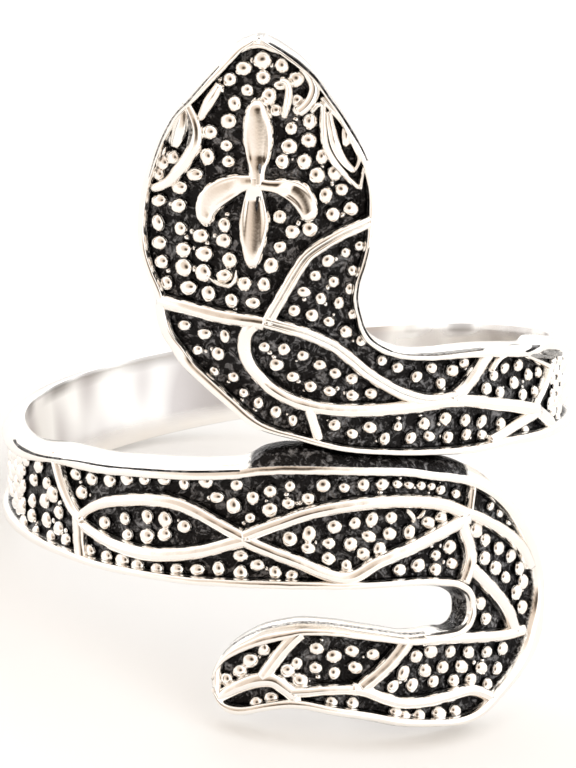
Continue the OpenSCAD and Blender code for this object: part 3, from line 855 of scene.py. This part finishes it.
head_px = [
    (158, 201), (178, 206), (157, 223), (180, 229), (200, 236), (158, 243), (183, 250), (204, 254),
    (223, 241), (224, 225), (161, 262), (183, 268), (229, 260), (203, 273), (224, 276), (166, 283),
    (188, 288), (208, 294), (231, 301), (253, 303), (244, 284), (264, 285), (194, 175), (179, 188),
    (228, 162), (207, 157), (229, 80), (243, 69), (262, 61), (263, 78), (247, 91), (269, 97), (234, 104),
    (228, 122), (209, 133), (226, 146), (282, 66), (296.5, 80), (310, 122), (291, 129), (309, 141),
    (289, 147), (304, 162), (282, 162), (322, 157), (317, 176), (335, 173), (326, 196), (342, 190),
    (333, 215), (351, 209), (292, 232), (310, 230), (280, 217), (280, 247), (271, 266),
]
eye_lumps_px = [
    (171, 126), (170, 138), (160, 150), (172, 158), (162, 163), (158, 174),
    # the ends of the scrolls
    (280, 86), (276, 111), (297, 101), (298, 110),
]
neck_px = [
    (361, 246), (346, 253), (328, 261), (354, 271), (315, 276), (334, 282), (351, 289), (304, 292),
    (321, 299), (339, 303), (353, 314), (294, 311), (312, 316), (329, 322), (346, 332), (362, 341),
    (383, 361), (399, 368), (418, 377), (433, 368), (442.5, 384), (454, 371), (466, 363),
    # between the two forks
    (264, 347), (284, 349), (276, 365), (303, 356), (292.5, 377), (320, 365), (311, 387), (336, 374),
    (330.5, 392), (353, 379), (353, 396), (372, 394),
    # along the left edge of the neck
    (183, 325.6), (203.6, 334), (224.3, 336.3), (196.7, 350), (217.4, 354), (213.5, 371.6), (232.7, 377.3),
    (243, 393.4), (258, 403.7), (275.6, 412.8), (293, 421.5),
]
upper_row_px = [
    (335, 426), (353, 434.5), (371, 428), (386, 439.5), (399, 427), (412, 438.5), (425.5, 424), (431, 437),
    (447, 419), (449.5, 438), (466.5, 420), (468, 435), (483, 421.5), (484, 435.5), (503, 424),
    (527.5, 431), (496, 376), (507, 368), (520, 365), (530, 375), (540, 372.5), (488.5, 389), (502, 392.5),
    (516, 383), (524.5, 395), (536, 391), (551.6, 404), (561, 397), (559, 418.5),
]
lower_row_px = [
    # the left side, close set
    (24.5, 459), (37, 466), (33, 480), (45, 483), (51.5, 494), (31, 501), (43, 501), (57, 512.5), (31, 516),
    (45, 520), (57, 529), (49, 537), (19, 472), (20, 490), (21, 507), (23, 523), (34, 532), (64, 540),
    # under the upper rim
    (74.5, 474), (90, 479), (80, 493), (108, 481), (125, 479), (143.5, 480), (162.7, 480.4), (183, 484),
    (205, 482), (216, 498), (236, 485), (233, 506.5), (252, 498), (250, 518.5), (270, 491.6),
    (269.6, 510.5), (290, 486.5), (288.5, 504), (308.4, 499), (324, 486), (344.6, 488), (364.5, 485.5),
    (383, 484.5),
    # in the two leaves
    (103, 522.5), (123, 519), (126, 535), (146, 517), (146, 536.5), (164, 520), (163, 535), (183, 527),
    (289.5, 539.6), (309.4, 534.5), (308.4, 548.8), (335, 527.3), (329.3, 543.7), (328.8, 559),
    (355.3, 523.3), (350.7, 544.7), (347, 566.6), (372.7, 520), (369.6, 537), (364, 554.4), (392.6, 518),
    (390.4, 534.3), (380.8, 549.8), (410.4, 532.3), (429.8, 522.8), (442.8, 517.5),
    # under the leaves
    (89, 551), (105, 557), (120.6, 561), (136.5, 566.5), (155.7, 569.7), (176, 570), (196.5, 570),
    (218, 569), (240, 556), (240, 574), (257, 565.5), (275, 573.3), (292, 576.3), (451, 547), (437, 555.3),
    (454, 564), (419.2, 566), (437, 570), (401, 570.6),
]
# close under the rim at the right, where they are smaller
under_rim_px = [
    (399, 484.5), (411, 485.7), (422.8, 485.7), (433.4, 487), (442.8, 490.4), (458, 494), (493, 505.7),
    (503, 512.8), (512.4, 521), (518.3, 528),
]
turn_px = [
    (477.6, 530.5), (487, 540), (500.6, 548.8), (486.5, 558.2), (512.4, 556), (497, 568.3), (520.7, 568.3),
    (507.7, 577.7), (524.8, 581.8), (517.7, 592.5), (523.6, 607.2), (482.3, 603.7), (487, 619),
]
tail_px = [
    (263.6, 649.6), (250, 660.8), (239.6, 671.4), (226, 680.3), (271.4, 698.7), (255.8, 703.7),
    (316.6, 648.5), (334.5, 656.3), (353, 651.3), (374, 654.6), (297, 664), (287.6, 670.8), (316, 668.6),
    (335, 673.6), (356, 668), (300.4, 681), (417, 656.6), (432.6, 651.3), (452, 652), (470.3, 652.5),
    (488, 652), (504.5, 649), (404, 673.7), (426, 670.8), (444.4, 667.8), (463.2, 667.2), (482.7, 668.4),
    (499.2, 669), (393.6, 686.7), (413.7, 685.5), (435, 682), (455, 680.8), (472, 679.6), (489, 684.3),
    (332, 702.6), (353.4, 703.7), (396.6, 713), (405, 716.8), (420, 716), (440, 713.8), (456.7, 711),
]
# At the back they are set in rows by rule: the stretch of turn, their diameter, the distance between two,
# that between rows as a share of it, and how much of the width stays free, in granules
back_rows = (72, 290)
back_granule = 0.55
back_pitch = 0.66
row_share = 0.87
row_margin = 1.1


def granules_at_the_back():
    """Places in cross rows along the band, every second one half a pitch aside."""
    rows = smooth_rows(band_sections, step_counts(band_sections, back_pitch * row_share))
    places = []
    for i, row in enumerate(rows):
        left, right = Vector(row[:2]), Vector(row[2:4])
        if not back_rows[0] < left.x < back_rows[1]:
            continue
        width = flat_length(right - left)
        room = width - sum(row[4:]) - back_granule * row_margin
        count = int(room / back_pitch - 0.5 * (i % 2)) + 1
        for k in range(count):
            places.append(left + (right - left) * (0.5 + (k - (count - 1) / 2) * back_pitch / width))
    return places


# How tall a grain is against its width, how uneven it may be, and how deep its dents are in metres
grain_shape = {"Tallness": 0.7, "Unevenness": 0.15, "Dents": 0.00007}
dents_per_m = 2600


def granule_tree():
    """Geometry nodes that set one uneven grain on each point, turned to the point's outward direction."""
    tree = bpy.data.node_groups.new("granules", "GeometryNodeTree")
    for label, way, kind in (
        ("Geometry", "INPUT", "Geometry"), ("Tallness", "INPUT", "Float"), ("Unevenness", "INPUT", "Float"),
        ("Dents", "INPUT", "Float"), ("Seed", "INPUT", "Int"), ("Material", "INPUT", "Material"),
        ("Geometry", "OUTPUT", "Geometry"),
    ):
        tree.interface.new_socket(label, in_out=way, socket_type="NodeSocket" + kind)
    node = partial(node_in, tree)
    given, result = node("NodeGroupInput"), node("NodeGroupOutput")
    # A round grain, with the rise of each of its points
    grain = node("GeometryNodeMeshIcoSphere", {"Radius": 0.5, "Subdivisions": 2})
    parts = node("SeparateXYZ", {0: (node("GeometryNodeInputPosition"), 0)})
    rise = node("MapRange", {"Value": (parts, "Z"), "From Min": -0.05, "From Max": 0.2})
    marked = node("GeometryNodeStoreNamedAttribute", data_type="FLOAT", domain="POINT")
    feed(marked, {"Geometry": (grain, "Mesh"), "Name": "rise", "Value": (rise, "Result")})
    # The way it points, and its size: a stretch of its own each way, times the size on the point
    outward = node("GeometryNodeInputNamedAttribute", {"Name": "outward"}, data_type="FLOAT_VECTOR")
    upright = node("FunctionNodeAlignRotationToVector", {"Vector": (outward, "Attribute")}, axis="Z")
    less = node("Math", {0: 1, 1: (given, "Unevenness")}, operation="SUBTRACT")
    more = node("Math", {0: 1, 1: (given, "Unevenness")}, operation="ADD")
    uneven = node("FunctionNodeRandomValue", data_type="FLOAT_VECTOR")
    feed(uneven, {"Min": (less, 0), "Max": (more, 0), "Seed": (given, "Seed")})
    stretch = node("CombineXYZ", {"X": 1, "Y": 1, "Z": (given, "Tallness")})
    shaped = node("VectorMath", {0: (stretch, 0), 1: (uneven, "Value")}, operation="MULTIPLY")
    size = node("GeometryNodeInputNamedAttribute", {"Name": "size"}, data_type="FLOAT")
    scaled = node("VectorMath", {0: (shaped, 0), "Scale": (size, "Attribute")}, operation="SCALE")
    # The grains on their points, with dents
    points = node("GeometryNodeMeshToPoints", {"Mesh": (given, "Geometry")})
    placed = node("GeometryNodeInstanceOnPoints", {"Points": (points, "Points")})
    feed(placed, {"Instance": (marked, "Geometry"), "Rotation": (upright, "Rotation")})
    feed(placed, {"Scale": (scaled, "Vector")})
    real = node("GeometryNodeRealizeInstances", {"Geometry": (placed, "Instances")})
    clouds = node("TexNoise", {"Scale": dents_per_m, "Detail": 0})
    centred = node("VectorMath", {0: (clouds, "Color"), 1: (0.5, 0.5, 0.5)}, operation="SUBTRACT")
    depth = node("VectorMath", {0: (centred, 0), "Scale": (given, "Dents")}, operation="SCALE")
    dented = node("GeometryNodeSetPosition", {"Geometry": (real, "Geometry"), "Offset": (depth, "Vector")})
    smooth = node("GeometryNodeSetShadeSmooth", {"Geometry": (dented, "Geometry")})
    finish = node("GeometryNodeSetMaterial", {"Geometry": (smooth, "Geometry")})
    feed(finish, {"Material": (given, "Material")})
    feed(result, {"Geometry": (finish, "Geometry")})
    return tree


granules = granule_tree()


def granule_piece(name, places, diameter, seed):
    """One mesh of grains at these places on the unrolled skin, some with a small grain beside them."""
    chance = random.Random(seed)
    grains = []
    for place in places:
        grains.append((place, diameter * (1 + chance.uniform(-size_spread, size_spread))))
        if chance.random() < satellite_share:
            way = chance.uniform(0, 2 * math.pi)
            step = Vector((math.cos(way) / mm_per_deg, math.sin(way))) * diameter * satellite_step
            grains.append((place + step, diameter * chance.uniform(*satellite_sizes)))
    spots = [on_ring(place, size * granule_lift) for place, size in grains]
    outward = [(on_ring(place, 1) - on_ring(place, 0)).normalized() for place, size in grains]
    seeds = bpy.data.meshes.new(name)
    seeds.from_pydata(spots, [], [])
    seeds.attributes.new("outward", "FLOAT_VECTOR", "POINT").data.foreach_set(
        "vector", [n for direction in outward for n in direction]
    )
    sizes = [size / 1000 for place, size in grains]
    seeds.attributes.new("size", "FLOAT", "POINT").data.foreach_set("value", sizes)
    carrier = in_scene(name + "_points", seeds)
    modifier = carrier.modifiers.new("granules", "NODES")
    modifier.node_group = granules
    given = {item.name: item.identifier for item in granules.interface.items_tree if item.in_out == "INPUT"}
    for label, value in (*grain_shape.items(), ("Seed", seed), ("Material", granule_silver)):
        modifier[given[label]] = value
    mesh = bpy.data.meshes.new_from_object(carrier.evaluated_get(bpy.context.evaluated_depsgraph_get()))
    bpy.data.objects.remove(carrier)
    piece = in_scene(name, mesh)
    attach(piece, "root")


def charted(rows_px):
    """Places of granules, whose middles the photograph shows a little over the ground."""
    return [seen_at(x, y, middle_lift) for x, y in rows_px]


# Each piece: its places, the diameter of its granules in millimetres and the seed of its random draws
for name, rows_px, diameter, seed in (
    ("head_granules", head_px, 0.66, 1),
    ("eye_lumps", eye_lumps_px, 0.54, 2),
    ("neck_granules", neck_px, 0.54, 3),
    ("upper_row_granules", upper_row_px, 0.54, 4),
    ("lower_row_granules", lower_row_px, 0.61, 5),
    ("under_rim_granules", under_rim_px, 0.46, 9),
    ("turn_granules", turn_px, 0.61, 6),
    ("tail_granules", tail_px, 0.62, 7),
):
    granule_piece(name, charted(rows_px), diameter, seed)
granule_piece("back_granules", granules_at_the_back(), back_granule, 8)
